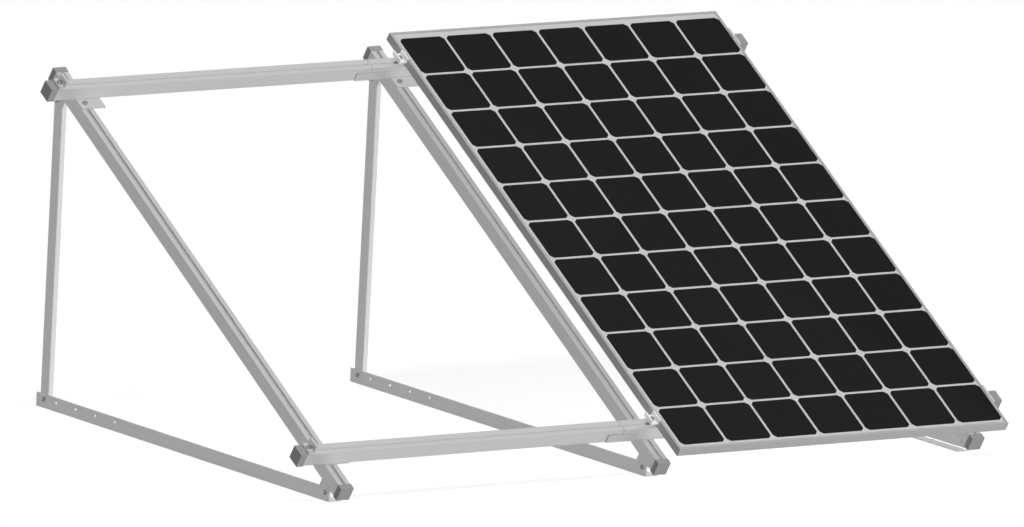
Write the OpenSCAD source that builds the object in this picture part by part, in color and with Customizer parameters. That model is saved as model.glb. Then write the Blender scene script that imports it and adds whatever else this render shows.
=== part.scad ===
// Tilted mount for two solar panels side by side. The right bay carries its panel, the left bay is free.
// Frame: +X runs along the rails, +Y towards the raised rear edge, +Z up, and z = 0 is the floor.
// The origin lies on the floor under the middle of the whole mount. All lengths are millimetres.

/* [Slope] */
// Angle of the slope beams above the floor, in degrees
tilt = 31; // [26:1:36]
// Distance up the slope from the lower rail to the upper rail
rail_spacing = 1546.5; // [1400:0.5:1640]
// Length of the beams below the lower rail
beam_below = 100; // [90:1:140]
// Length of the beams above the upper rail
beam_above = 97.5; // [80:0.5:140]
// Left beam's outer face, inboard of the outer edge of the left panel's place
left_beam_in = 53.5; // [30:0.5:200]
// Right beam's outer face, inboard of the panel's outer edge
right_beam_in = 44.5; // [30:0.5:200]
// Joint between the two lengths of each rail, left of the middle beam's centre line
joint_left = 96; // [80:1:160]
// Gap between the two lengths of each rail, for expansion
joint_gap = 1; // [0.2:0.1:3]

/* [Extrusion] */
// Outer side of the square extrusion that beams and rails are cut from
profile = 40; // [38:0.5:50]
// Wall of the extrusion
profile_wall = 2; // [1.5:0.1:3]
// Mouth of the T-slots in its top and bottom faces
slot_mouth = 11; // [9:0.5:12]
// Thickness of the lips beside the mouth
slot_lip = 2.75; // [2:0.25:4]
// Width of the slot behind the lips
slot_cavity = 20; // [17:0.5:22]
// Depth of the slot from the face to its floor
slot_depth = 11; // [10:0.5:13]
// Bevel along the edges of the mouth
slot_bevel = 0.6; // [0.2:0.1:1]

/* [End caps] */
// Side walls of the plastic caps
cap_wall = 1.15; // [0.8:0.05:2.5]
// End wall of the caps
cap_end = 2; // [1:0.5:4]
// Clearance between a cap and the extrusion inside it
cap_fit = 0.1; // [0.05:0.05:0.4]
// Length of the caps on the beams
beam_cap_len = 19; // [12:0.5:26]
// Length of the caps on the rails
rail_cap_len = 21.5; // [12:0.5:30]

/* [Rail plates] */
// Width of the plates along the rails
plate_w = 80; // [72:1:100]
// Length of a plate beyond the rail that it carries
plate_out = 39.5; // [32:0.5:60]
// Thickness of the plates
plate_t = 4; // [3:0.5:6]
// Distance of each plate bolt from the plate's free edges
plate_bolt_in = 20; // [16:0.5:24]

/* [Brackets] */
// Leg of the angle brackets under the beams
bracket_leg = 39; // [36:0.5:44]
// Thickness of the brackets
bracket_t = 4; // [3:0.5:5]
// Length of the brackets along the beam
bracket_len = 50; // [42:1:70]
// Inner radius of the brackets
bracket_root = 2; // [1:0.5:3]
// Distance of the hinge bolt from the bracket's outer end
bracket_hole_end = 18; // [14:0.5:22]
// Distance of the hinge bolt below the beam
bracket_hole_drop = 21.5; // [20:0.5:26]
// Lower end of the foot brackets, below the lower rail
foot_bracket_down = 61.25; // [45:0.25:72]
// Upper end of the top brackets, above the upper rail
top_bracket_up = 51.75; // [40:0.25:64]
// Clearance between the floor and a bracket's swinging corner
floor_gap = 0.4; // [0.2:0.1:3]

/* [Base angles and posts] */
// Leg of the base angles and posts
angle_leg = 40; // [38:0.5:50]
// Thickness of the base angles and posts
angle_t = 3; // [2:0.5:4]
// Inner radius of the base angles and posts
angle_root = 3; // [1:0.5:4]
// Length of a base angle in front of its front bolt
base_front = 17; // [14:0.5:30]
// Length of a base angle behind its rear bolt
base_rear = 36; // [24:1:60]
// Diameter of the holes that give other tilts
tilt_hole_d = 9; // [8.5:0.1:10]
// Distance of the first tilt hole from the rear end
tilt_hole_first = 100; // [80:1:140]
// Spacing of the tilt holes
tilt_hole_pitch = 100; // [60:1:140]
// Number of tilt holes
tilt_holes = 4; // [2:1:6]
// Width of the anchor slots in the floor flange
anchor_slot_w = 9; // [7:0.5:11]
// Length of the anchor slots
anchor_slot_len = 17; // [14:0.5:24]
// Distance of the anchor slots from the flange's free edge
anchor_edge = 22; // [15:0.5:24]
// Distance of the anchor slots from each end
anchor_from_end = 158; // [100:1:220]

/* [Fasteners] */
// Diameter of the hex bolts
bolt_d = 8; // [6:1:8]
// Diameter of the holes for the hex bolts
bolt_hole = 9; // [8.5:0.1:10]
// Width across the flats of bolt heads and nuts
bolt_flats = 13; // [11:0.5:13]
// Height of the bolt heads
bolt_head = 5.3; // [4:0.1:6]
// Height of the hex nuts
nut_h = 6.5; // [5:0.1:8]
// Length of the bolts at the corners of the triangles
hinge_bolt_len = 20; // [16:1:30]
// Thickness of the nuts in the T-slots
slot_nut_t = 5; // [4:0.5:6]
// Length of the nuts in the T-slots
slot_nut_len = 14; // [12:0.5:20]
// Clearance of the slot nuts on each side
slot_nut_fit = 0.5; // [0.2:0.1:0.8]
// Length of thread beyond the slot nuts
slot_bolt_past = 1; // [0.5:0.5:2]

/* [Splice plates] */
// Length of the plates over the rail joints
splice_len = 100; // [80:1:120]
// Height of the splice plates
splice_h = 25; // [20:0.5:30]
// Thickness of the splice plates
splice_t = 4; // [3:0.5:6]
// Diameter of the splice bolts
splice_bolt_d = 6; // [5:0.5:6]
// Width across the flats of the splice bolts' heads
splice_flats = 10; // [8:0.5:11]
// Height of the splice bolts' heads
splice_head = 4; // [3:0.1:5]
// Distance of the inner splice bolts from the joint
splice_bolt_in = 14; // [10:0.5:18]
// Distance of the outer splice bolts from the plate's ends
splice_bolt_end = 14; // [10:0.5:18]
// Metal left in front of the blind threads
splice_blind = 1; // [0.5:0.5:1.5]

/* [Clamps] */
// Thickness of the end clamps
clamp_t = 3; // [2:0.5:3.5]
// Length of all clamps up the slope
clamp_len = 40; // [30:1:60]
// Width of the end clamps from heel to panel
end_clamp_w = 20; // [19:0.5:26]
// Distance of the end clamp's bolt from the panel
end_bolt_out = 11; // [10:0.5:12]
// Height of the end clamps' web above the rail
end_clamp_lift = 6; // [4:0.5:8]
// Reach of the end clamps' lip over the panel
end_lip = 5.5; // [4:0.5:8]
// Width of the mid clamps between the two panels
mid_clamp_w = 27; // [25:0.5:40]
// Thickness of the mid clamps
mid_clamp_t = 2.5; // [2:0.5:3.5]
// Height of the mid clamps' web above the rail
mid_clamp_lift = 12; // [8:0.5:14]
// Reach of the mid clamps' lips over the panels
mid_lip = 3; // [2:0.5:8]
// Diameter of the spacers under the mid clamps
spacer_d = 13; // [12:0.5:16]
// Gap between the left end clamps and the rail caps
left_end_gap = 2; // [0.2:0.1:20]
// Gap between the right end clamps and the rail caps
right_end_gap = 15; // [0.5:0.5:30]

/* [Panel] */
// Width of the panel along the rails
panel_w = 1129; // [1000:1:1300]
// Length of the panel up the slope
panel_l = 1784; // [1700:1:1900]
// Thickness of the panel's frame
panel_t = 25; // [24:1:32]
// Distance of the panel's middle below the middle of the rails
panel_drop = 21.7; // [0:0.1:30]
// Wall of the panel's frame
frame_wall = 1.8; // [1.2:0.1:2.5]
// Width of the frame's rim over the glass
frame_rim = 8.5; // [6:0.5:8.5]
// Thickness of that rim
frame_rim_t = 1.2; // [1:0.1:2]
// Width of the frame's bottom flange
frame_flange = 25; // [15:1:35]
// Clearance around the glass
glass_fit = 0.5; // [0.3:0.1:1.5]
// Thickness of the glass
glass_t = 3.2; // [2:0.2:4]
// Thickness of the cells
cell_t = 0.4; // [0.2:0.1:0.8]
// Thickness of the backsheet
backsheet_t = 0.6; // [0.3:0.1:1]
// Number of cell columns
cell_columns = 7; // [5:1:8]
// Number of cell rows
cell_rows = 11; // [9:1:14]
// Border beside the grid of cells at the long edges
side_border = 8.875; // [8.875:0.125:20]
// Border beyond the grid of cells at the short edges
end_border = 18.875; // [10:0.125:40]
// Gap between neighbouring cells
cell_gap = 8; // [3:0.5:10]
// Cut corner of the cells
cell_corner = 10.5; // [5:0.5:20]
// Size of the junction box along the rails, up the slope and in depth
junction_box = [120, 70, 14]; // [8:1:160]
// Distance of the junction box from the panel's upper edge
junction_from_edge = 90; // [50:1:300]
// Distance of the two cable glands from the box's ends
gland_in = 30; // [10:1:50]
// Diameter of the glands
gland_d = 9; // [6:0.5:12]
// Length of the glands
gland_len = 12; // [8:0.5:20]

/* [Hidden] */
$fn = 48;

// Small overshoot of cutting shapes past the faces they cut
over = 1;
// Running gap kept where cut ends face other metal
end_gap = 1;
// Reach of the shape that cuts away everything above the ceiling
cut_reach = 4 * profile;

LEFT = 0;
MIDDLE = 1;
RIGHT = 2;
SIDES = [LEFT, MIDDLE, RIGHT];

// Places along the rails, measured from the middle beam's centre line
panel_left = mid_clamp_w / 2;
panel_right = panel_left + panel_w;
free_bay_left = -panel_right;
rails_left = free_bay_left - end_clamp_w - left_end_gap - rail_cap_len;
rails_right = panel_right + end_clamp_w + right_end_gap + rail_cap_len;
x_mid = -(rails_left + rails_right) / 2;
// Outer face of each beam: left faces of the left and middle beams, right face of the right beam
beam_face = [
    x_mid + free_bay_left + left_beam_in,
    x_mid - profile / 2,
    x_mid + panel_right - right_beam_in
];

// Places up the slope, measured from the lower rail's front face, and heights over the beams' top faces
upper_s = rail_spacing;
beam_end_s = upper_s + profile + beam_above;
rail_h = plate_t;
panel_h = rail_h + profile;
panel_s = (rail_spacing + profile - panel_l) / 2 - panel_drop;
foot_bolt_s = bracket_hole_end - foot_bracket_down;
top_bolt_s = upper_s + profile + top_bracket_up - bracket_hole_end;
hinge_h = -profile - bracket_hole_drop;
cap_proud = cap_fit + cap_wall;
// Height, over the beams' top faces, that base angles and posts stay under
ceiling_h = -profile - bracket_t - max(bracket_root, end_gap) - end_gap;

// Height of the base bolts: a bracket's corner swings about them clear of the floor
base_bolt_z = floor_gap + norm([bracket_hole_end, bracket_leg - bracket_hole_drop]);
// Place of the slope's own frame over the floor
front_reach = panel_s * cos(tilt) - (panel_h + panel_t) * sin(tilt);
rear_reach = (beam_end_s + cap_end) * cos(tilt) + (profile + cap_proud) * sin(tilt);
slope_y = -(front_reach + rear_reach) / 2;
slope_z = base_bolt_z - foot_bolt_s * sin(tilt) - hinge_h * cos(tilt);
front_bolt_y = slope_y + foot_bolt_s * cos(tilt) - hinge_h * sin(tilt);
rear_bolt_y = slope_y + top_bolt_s * cos(tilt) - hinge_h * sin(tilt);
top_bolt_z = slope_z + top_bolt_s * sin(tilt) + hinge_h * cos(tilt);
base_y0 = front_bolt_y - base_front;
base_y1 = rear_bolt_y + base_rear;
post_foot_z = angle_t + angle_root + end_gap;
// Top of a post before its end is cut to the slope
post_blank_z = top_bolt_z + 2 * angle_leg;

slot_reach = slot_lip + slot_nut_t + slot_bolt_past;
pitch_x = (panel_w - 2 * side_border) / cell_columns;
pitch_s = (panel_l - 2 * end_border) / cell_rows;
glass_top = panel_t - frame_rim_t;
cell_top = glass_top - glass_t;
backsheet_top = cell_top - cell_t;
ledge_top = backsheet_top - backsheet_t;

// Frames of reference

// Puts children from slope coordinates (x, s, h) into the world
module on_slope() {
    translate([0, slope_y, slope_z]) rotate([tilt, 0, 0]) children();
}

// Puts children on one triangle: x runs inwards from its outer face, mirrored on the right
module on_side(side) {
    if (side == RIGHT)
        translate([beam_face[side], 0, 0]) mirror([1, 0, 0]) children();
    else
        translate([beam_face[side], 0, 0]) children();
}

// Profiles

// T-slot that opens at y = 0 and goes down
module slot_outline() {
    polygon([
        [-slot_mouth / 2 - slot_bevel - over, over],
        [-slot_mouth / 2 - slot_bevel, 0],
        [-slot_mouth / 2, -slot_bevel],
        [-slot_mouth / 2, -slot_lip],
        [-slot_cavity / 2, -slot_lip],
        [-slot_cavity / 2, -slot_depth],
        [slot_cavity / 2, -slot_depth],
        [slot_cavity / 2, -slot_lip],
        [slot_mouth / 2, -slot_lip],
        [slot_mouth / 2, -slot_bevel],
        [slot_mouth / 2 + slot_bevel, 0],
        [slot_mouth / 2 + slot_bevel + over, over]
    ]);
}

// Metal around one T-slot, which the inner chamber leaves standing
module slot_shell() {
    translate([-slot_cavity / 2 - profile_wall, -slot_depth - profile_wall])
        square([slot_cavity + 2 * profile_wall, slot_depth + profile_wall]);
}

// Section of the extrusion, centred on x, with its top face at y = 0
module profile_outline() {
    difference() {
        translate([-profile / 2, -profile]) square(profile);
        slot_outline();
        translate([0, -profile]) mirror([0, 1]) slot_outline();
        difference() {
            translate([profile_wall - profile / 2, profile_wall - profile])
                square(profile - 2 * profile_wall);
            slot_shell();
            translate([0, -profile]) mirror([0, 1]) slot_shell();
        }
    }
}

// Angle section with its outer corner at the origin
module angle_outline(leg, t, root) {
    square([t, leg]);
    square([leg, t]);
    difference() {
        translate([t, t]) square(root);
        translate([t + root, t + root]) circle(root);
    }
}

// Extrusion along the slope from s0 to s1, its section centred on x = 0 under h = 0
module bar_up_slope(s0, s1) {
    translate([0, s1, 0]) rotate([90, 0, 0]) linear_extrude(s1 - s0) children();
}

// Extrusion along the rails from x0 to x1, its section centred on s = 0 under h = 0
module bar_along_rails(x0, x1) {
    translate([x0, 0, 0]) rotate([90, 0, 90]) linear_extrude(x1 - x0) children();
}

// Everything above the ceiling that the beam and its brackets set
module above_ceiling() {
    on_slope() translate([-cut_reach, -cut_reach, ceiling_h])
        cube([2 * cut_reach, beam_end_s + 2 * cut_reach, cut_reach]);
}

// Fasteners, standing on z = 0 with the head above

module hex_head(flats, h) {
    rotate(30) cylinder(d = flats / cos(30), h = h, $fn = 6);
}

module hex_bolt(len) {
    hex_head(bolt_flats, bolt_head);
    translate([0, 0, -len]) cylinder(d = bolt_d, h = len + bolt_head / 2);
}

module hex_nut() {
    difference() {
        translate([0, 0, -nut_h]) hex_head(bolt_flats, nut_h);
        translate([0, 0, -nut_h - over]) cylinder(d = bolt_d, h = nut_h + 2 * over);
    }
}

// Nut behind the lips of a slot that opens upwards at z = 0, turned to slide along y
module slot_nut() {
    difference() {
        translate([slot_nut_fit - slot_cavity / 2, -slot_nut_len / 2, -slot_lip - slot_nut_t])
            cube([slot_cavity - 2 * slot_nut_fit, slot_nut_len, slot_nut_t]);
        translate([0, 0, -slot_lip - slot_nut_t - over]) cylinder(d = bolt_d, h = slot_nut_t + 2 * over);
    }
}

// Through hole along z for a hex bolt, centred on z = 0
module bolt_hole_z(reach) {
    cylinder(d = bolt_hole, h = reach * 2, center = true);
}

// Through hole along x, centred on x = 0
module hole_x(d, reach) {
    rotate([0, 90, 0]) cylinder(d = d, h = reach * 2, center = true);
}

// Base angles and rear posts

// Places of the tilt holes along the base angle
tilt_hole_y = [for (i = [0 : tilt_holes - 1]) base_y1 - tilt_hole_first - i * tilt_hole_pitch];

module anchor_slot() {
    travel = anchor_slot_len - anchor_slot_w;
    for (end = [-1, 1])
        translate([0, end * travel / 2, -over]) cylinder(d = anchor_slot_w, h = angle_t + 2 * over);
    translate([-anchor_slot_w / 2, -travel / 2, -over]) cube([anchor_slot_w, travel, angle_t + 2 * over]);
}

module base_angle(side) {
    on_side(side) color("silver") difference() {
        translate([bracket_t, base_y1, 0]) rotate([90, 0, 0])
            linear_extrude(base_y1 - base_y0) angle_outline(angle_leg, angle_t, angle_root);
        above_ceiling();
        for (y = [front_bolt_y, rear_bolt_y])
            translate([bracket_t, y, base_bolt_z]) hole_x(bolt_hole, angle_t + over);
        for (y = tilt_hole_y)
            translate([bracket_t, y, base_bolt_z]) hole_x(tilt_hole_d, angle_t + over);
        for (y = [base_y0 + anchor_from_end, base_y1 - anchor_from_end])
            translate([bracket_t + angle_leg - anchor_edge, y, 0]) anchor_slot();
    }
}

module rear_post(side) {
    on_side(side) color("silver") difference() {
        translate([bracket_t + angle_t, rear_bolt_y + angle_leg / 2, post_foot_z])
            linear_extrude(post_blank_z - post_foot_z)
                mirror([0, 1]) angle_outline(angle_leg, angle_t, angle_root);
        above_ceiling();
        for (z = [base_bolt_z, top_bolt_z])
            translate([bracket_t + angle_t, rear_bolt_y, z]) hole_x(bolt_hole, angle_t + over);
    }
}

// Slope beams and their brackets

module slope_beam(side) {
    on_side(side) on_slope() color("silver")
        translate([profile / 2, 0, 0]) bar_up_slope(-beam_below, beam_end_s) profile_outline();
}

// Angle bracket under a beam from s0 up the slope, with its hanging leg set in from the beam's face
module bracket(s0, hinge_s, set_in) {
    bolt_s = s0 + bracket_len / 2;
    color("silver") difference() {
        translate([set_in, 0, -profile]) bar_up_slope(s0, s0 + bracket_len)
            mirror([0, 1]) angle_outline(bracket_leg, bracket_t, bracket_root);
        translate([set_in, hinge_s, hinge_h]) hole_x(bolt_hole, bracket_t + over);
        translate([profile / 2, bolt_s, -profile - bracket_t]) bolt_hole_z(bracket_t + over);
    }
}

foot_bracket_s = -foot_bracket_down;
top_bracket_s = upper_s + profile + top_bracket_up - bracket_len;

module foot_bracket(side) {
    on_side(side) on_slope() bracket(foot_bracket_s, foot_bolt_s, 0);
}

module top_bracket(side) {
    on_side(side) on_slope() bracket(top_bracket_s, top_bolt_s, angle_t);
}

// Plastic caps: a square cup around the end of the extrusion, its inner end wall at z = 0
module end_cup(len) {
    color("dimgray") difference() {
        translate([-profile / 2 - cap_proud, -profile / 2 - cap_proud, cap_end - len])
            cube([profile + 2 * cap_proud, profile + 2 * cap_proud, len]);
        translate([-profile / 2 - cap_fit, -profile / 2 - cap_fit, cap_end - len - over])
            cube([profile + 2 * cap_fit, profile + 2 * cap_fit, len - cap_end + over]);
    }
}

module beam_foot_cap(side) {
    on_side(side) on_slope() translate([profile / 2, -beam_below, -profile / 2])
        rotate([90, 0, 0]) end_cup(beam_cap_len);
}

module beam_top_cap(side) {
    on_side(side) on_slope() translate([profile / 2, beam_end_s, -profile / 2])
        rotate([-90, 0, 0]) end_cup(beam_cap_len);
}

// Rails, their caps, plates and splices

rail_x0 = x_mid + rails_left + cap_end;
rail_x1 = x_mid + rails_right - cap_end;
joint_x = x_mid - joint_left;
splice_bolt_h = rail_h + splice_h / 2;
splice_bolt_x = [for (end = [-1, 1], d = [splice_bolt_in, splice_len / 2 - splice_bolt_end]) joint_x + end * d];

module rail(s, x0, x1) {
    on_slope() color("silver") difference() {
        translate([0, s + profile / 2, rail_h + profile]) bar_along_rails(x0, x1) profile_outline();
        for (x = splice_bolt_x)
            translate([x, s + profile / 2, splice_bolt_h]) rotate([90, 0, 0])
                cylinder(d = splice_bolt_d, h = profile + 2 * over, center = true);
    }
}

module rail_cap(s, x, turn) {
    on_slope() translate([x, s + profile / 2, rail_h + profile / 2])
        rotate([0, turn, 0]) end_cup(rail_cap_len);
}

// Places of a plate's two bolts: one into the beam's slot, one up into the rail's slot
lower_beam_bolt_s = profile + plate_out - plate_bolt_in;
upper_beam_bolt_s = upper_s - plate_out + plate_bolt_in;

module rail_plate(side, s0, beam_bolt_s, rail_s) {
    on_side(side) on_slope() color("silver") difference() {
        translate([0, s0, 0]) cube([plate_w, profile + plate_out, plate_t]);
        translate([profile / 2, beam_bolt_s, plate_t / 2]) bolt_hole_z(plate_t);
        translate([plate_w - plate_bolt_in, rail_s + profile / 2, plate_t / 2]) bolt_hole_z(plate_t);
    }
}

module lower_rail_plate(side) {
    rail_plate(side, 0, lower_beam_bolt_s, 0);
}

module upper_rail_plate(side) {
    rail_plate(side, upper_s - plate_out, upper_beam_bolt_s, upper_s);
}

module splice_plate(s) {
    on_slope() color("gainsboro") difference() {
        translate([joint_x - splice_len / 2, s - splice_t, rail_h]) cube([splice_len, splice_t, splice_h]);
        for (x = splice_bolt_x)
            translate([x, s + over, splice_bolt_h]) rotate([90, 0, 0])
                cylinder(d = splice_bolt_d, h = splice_t - splice_blind + over);
    }
}

// Clamps, drawn over the rail's top face with x towards the panel and the panel's edge at x = 0

module end_clamp_outline() {
    lip_h = panel_t + clamp_t;
    polygon([
        [-end_clamp_w, 0],
        [clamp_t - end_clamp_w, 0],
        [clamp_t - end_clamp_w, end_clamp_lift],
        [0, end_clamp_lift],
        [0, panel_t],
        [end_lip, panel_t],
        [end_lip, lip_h],
        [-clamp_t, lip_h],
        [-clamp_t, end_clamp_lift + clamp_t],
        [-end_clamp_w, end_clamp_lift + clamp_t]
    ]);
}

module mid_clamp_outline() {
    half = mid_clamp_w / 2;
    t = mid_clamp_t;
    lip_h = panel_t + t;
    polygon([
        [-half, mid_clamp_lift],
        [half, mid_clamp_lift],
        [half, panel_t],
        [half + mid_lip, panel_t],
        [half + mid_lip, lip_h],
        [half - t, lip_h],
        [half - t, mid_clamp_lift + t],
        [t - half, mid_clamp_lift + t],
        [t - half, lip_h],
        [-half - mid_lip, lip_h],
        [-half - mid_lip, panel_t],
        [-half, panel_t]
    ]);
}

// Puts children on the rail at s: x = 0 at the given place, y centred on the rail, z = 0 on its top face
module on_rail(s, x) {
    on_slope() translate([x_mid + x, s + profile / 2, panel_h]) children();
}

module end_clamp() {
    color("gainsboro") difference() {
        translate([0, -clamp_len / 2, 0]) bar_up_slope(0, clamp_len) end_clamp_outline();
        translate([-end_bolt_out, 0, end_clamp_lift]) bolt_hole_z(clamp_t + over);
    }
}

module left_end_clamp(s) {
    on_rail(s, free_bay_left) end_clamp();
}

module right_end_clamp(s) {
    on_rail(s, panel_right) mirror([1, 0, 0]) end_clamp();
}

module mid_clamp(s) {
    on_rail(s, 0) color("gainsboro") difference() {
        translate([0, -clamp_len / 2, 0]) bar_up_slope(0, clamp_len) mid_clamp_outline();
        translate([0, 0, mid_clamp_lift]) bolt_hole_z(mid_clamp_t + over);
    }
}

// Groups of fasteners

// One place for each bolt through the corners of a triangle: outer face, y, z
hinge_places = [
    [0, front_bolt_y, base_bolt_z],
    [bracket_t, rear_bolt_y, base_bolt_z],
    [angle_t, rear_bolt_y, top_bolt_z]
];
// Thickness that each of those bolts clamps
hinge_grips = [bracket_t + angle_t, 2 * angle_t, bracket_t + angle_t];

module hinge_bolts() {
    color("lightsteelblue") for (side = SIDES, place = hinge_places)
        on_side(side) translate(place) rotate([0, -90, 0]) hex_bolt(hinge_bolt_len);
}

module hinge_nuts() {
    color("lightsteelblue") for (side = SIDES, i = [0 : len(hinge_places) - 1])
        on_side(side) translate(hinge_places[i] + [hinge_grips[i], 0, 0]) rotate([0, -90, 0]) hex_nut();
}

bracket_bolt_s = [foot_bracket_s + bracket_len / 2, top_bracket_s + bracket_len / 2];

module bracket_bolts() {
    color("lightsteelblue") for (side = SIDES, s = bracket_bolt_s)
        on_side(side) on_slope() translate([profile / 2, s, -profile - bracket_t])
            mirror([0, 0, 1]) hex_bolt(bracket_t + slot_reach);
}

module plate_bolts() {
    color("lightsteelblue") for (side = SIDES) {
        for (s = [lower_beam_bolt_s, upper_beam_bolt_s])
            on_side(side) on_slope() translate([profile / 2, s, plate_t])
                hex_bolt(plate_t + slot_reach);
        for (s = [0, upper_s])
            on_side(side) on_slope() translate([plate_w - plate_bolt_in, s + profile / 2, 0])
                mirror([0, 0, 1]) hex_bolt(plate_t + slot_reach);
    }
}

module splice_bolts() {
    color("lightsteelblue") for (s = [0, upper_s], x = splice_bolt_x)
        on_slope() translate([x, s + profile, splice_bolt_h]) rotate([-90, 0, 0]) {
            hex_head(splice_flats, splice_head);
            translate([0, 0, -profile - splice_t + splice_blind])
                cylinder(d = splice_bolt_d, h = profile + splice_t - splice_blind + splice_head / 2);
        }
}

// Clamp bolts on each rail: place along the rail and height of the web that the head presses
clamp_bolt_places = [
    [free_bay_left - end_bolt_out, end_clamp_lift + clamp_t],
    [0, mid_clamp_lift + mid_clamp_t],
    [panel_right + end_bolt_out, end_clamp_lift + clamp_t]
];

module clamp_bolts() {
    color("lightsteelblue") for (s = [0, upper_s], place = clamp_bolt_places)
        on_rail(s, place[0]) translate([0, 0, place[1]]) hex_bolt(place[1] + slot_reach);
}

module clamp_spacers() {
    color("slategray") for (s = [0, upper_s])
        on_rail(s, 0) difference() {
            cylinder(d = spacer_d, h = mid_clamp_lift);
            translate([0, 0, -over]) cylinder(d = bolt_d, h = mid_clamp_lift + 2 * over);
        }
}

module slot_nuts() {
    color("slategray") {
        for (side = SIDES) {
            for (s = bracket_bolt_s)
                on_side(side) on_slope() translate([profile / 2, s, -profile]) mirror([0, 0, 1]) slot_nut();
            for (s = [lower_beam_bolt_s, upper_beam_bolt_s])
                on_side(side) on_slope() translate([profile / 2, s, 0]) slot_nut();
            for (s = [0, upper_s])
                on_side(side) on_slope() translate([plate_w - plate_bolt_in, s + profile / 2, rail_h])
                    mirror([0, 0, 1]) rotate(90) slot_nut();
        }
        for (s = [0, upper_s], place = clamp_bolt_places)
            on_rail(s, place[0]) rotate(90) slot_nut();
    }
}

// Panel

// Puts children on the panel: x and y from its lower left corner, z from its underside
module on_panel() {
    on_slope() translate([x_mid + panel_left, panel_s, panel_h]) children();
}

// Section of the frame: x inwards from its outer face, y up
module frame_outline() {
    polygon([
        [0, 0],
        [frame_flange, 0],
        [frame_flange, frame_wall],
        [frame_wall, frame_wall],
        [frame_wall, ledge_top - frame_wall],
        [frame_rim, ledge_top - frame_wall],
        [frame_rim, ledge_top],
        [frame_wall, ledge_top],
        [frame_wall, glass_top],
        [frame_rim, glass_top],
        [frame_rim, panel_t],
        [0, panel_t]
    ]);
}

// Mitred bar of the frame along +y, its inner side towards +x
module frame_bar(len) {
    color("darkgray") intersection() {
        bar_up_slope(0, len) frame_outline();
        linear_extrude(panel_t)
            polygon([[0, 0], [frame_flange, frame_flange], [frame_flange, len - frame_flange], [0, len]]);
    }
}

module panel_frame_left() {
    on_panel() frame_bar(panel_l);
}

module panel_frame_right() {
    on_panel() translate([panel_w, panel_l, 0]) rotate(180) frame_bar(panel_l);
}

module panel_frame_lower() {
    on_panel() translate([panel_w, 0, 0]) rotate(90) frame_bar(panel_w);
}

module panel_frame_upper() {
    on_panel() translate([0, panel_l, 0]) rotate(-90) frame_bar(panel_w);
}

// Sheet inside the frame's groove, from z0 up
module laminate(z0, t) {
    inset = frame_wall + glass_fit;
    translate([inset, inset, z0]) cube([panel_w - 2 * inset, panel_l - 2 * inset, t]);
}

module panel_glass() {
    on_panel() color("whitesmoke", 0.3) laminate(cell_top, glass_t);
}

module panel_backsheet() {
    on_panel() color("lightgray") laminate(ledge_top, backsheet_t);
}

// One cell with its corners cut off
module cell_outline(w, l) {
    c = cell_corner;
    polygon([[c, 0], [w - c, 0], [w, c], [w, l - c], [w - c, l], [c, l], [0, l - c], [0, c]]);
}

module solar_cells() {
    on_panel() color([0.13, 0.13, 0.14])
        for (column = [0 : cell_columns - 1], row = [0 : cell_rows - 1])
            translate([
                side_border + column * pitch_x + cell_gap / 2,
                end_border + row * pitch_s + cell_gap / 2,
                backsheet_top
            ])
                linear_extrude(cell_t) cell_outline(pitch_x - cell_gap, pitch_s - cell_gap);
}

module panel_junction_box() {
    box = junction_box;
    on_panel() color("black")
        translate([(panel_w - box[0]) / 2, panel_l - junction_from_edge - box[1], ledge_top - box[2]]) {
            cube(box);
            for (x = [gland_in, box[0] - gland_in])
                translate([x, 0, box[2] / 2]) rotate([90, 0, 0])
                    cylinder(d = gland_d, h = gland_len);
        }
}

base_angle(LEFT);  // left_base_angle
base_angle(MIDDLE);  // middle_base_angle
base_angle(RIGHT);  // right_base_angle
rear_post(LEFT);  // left_rear_post
rear_post(MIDDLE);  // middle_rear_post
rear_post(RIGHT);  // right_rear_post
slope_beam(LEFT);  // left_slope_beam
slope_beam(MIDDLE);  // middle_slope_beam
slope_beam(RIGHT);  // right_slope_beam
foot_bracket(LEFT);  // left_foot_bracket
foot_bracket(MIDDLE);  // middle_foot_bracket
foot_bracket(RIGHT);  // right_foot_bracket
top_bracket(LEFT);  // left_top_bracket
top_bracket(MIDDLE);  // middle_top_bracket
top_bracket(RIGHT);  // right_top_bracket
beam_foot_cap(LEFT);  // left_beam_foot_cap
beam_foot_cap(MIDDLE);  // middle_beam_foot_cap
beam_foot_cap(RIGHT);  // right_beam_foot_cap
beam_top_cap(LEFT);  // left_beam_top_cap
beam_top_cap(MIDDLE);  // middle_beam_top_cap
beam_top_cap(RIGHT);  // right_beam_top_cap
lower_rail_plate(LEFT);  // lower_left_rail_plate
lower_rail_plate(MIDDLE);  // lower_middle_rail_plate
lower_rail_plate(RIGHT);  // lower_right_rail_plate
upper_rail_plate(LEFT);  // upper_left_rail_plate
upper_rail_plate(MIDDLE);  // upper_middle_rail_plate
upper_rail_plate(RIGHT);  // upper_right_rail_plate
rail(0, rail_x0, joint_x - joint_gap / 2);  // lower_rail_left
rail(0, joint_x + joint_gap / 2, rail_x1);  // lower_rail_right
rail(upper_s, rail_x0, joint_x - joint_gap / 2);  // upper_rail_left
rail(upper_s, joint_x + joint_gap / 2, rail_x1);  // upper_rail_right
rail_cap(0, rail_x0, -90);  // lower_rail_left_cap
rail_cap(0, rail_x1, 90);  // lower_rail_right_cap
rail_cap(upper_s, rail_x0, -90);  // upper_rail_left_cap
rail_cap(upper_s, rail_x1, 90);  // upper_rail_right_cap
splice_plate(0);  // lower_splice_plate
splice_plate(upper_s);  // upper_splice_plate
left_end_clamp(0);  // lower_left_end_clamp
left_end_clamp(upper_s);  // upper_left_end_clamp
mid_clamp(0);  // lower_mid_clamp
mid_clamp(upper_s);  // upper_mid_clamp
right_end_clamp(0);  // lower_right_end_clamp
right_end_clamp(upper_s);  // upper_right_end_clamp
hinge_bolts();
hinge_nuts();
bracket_bolts();
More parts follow.
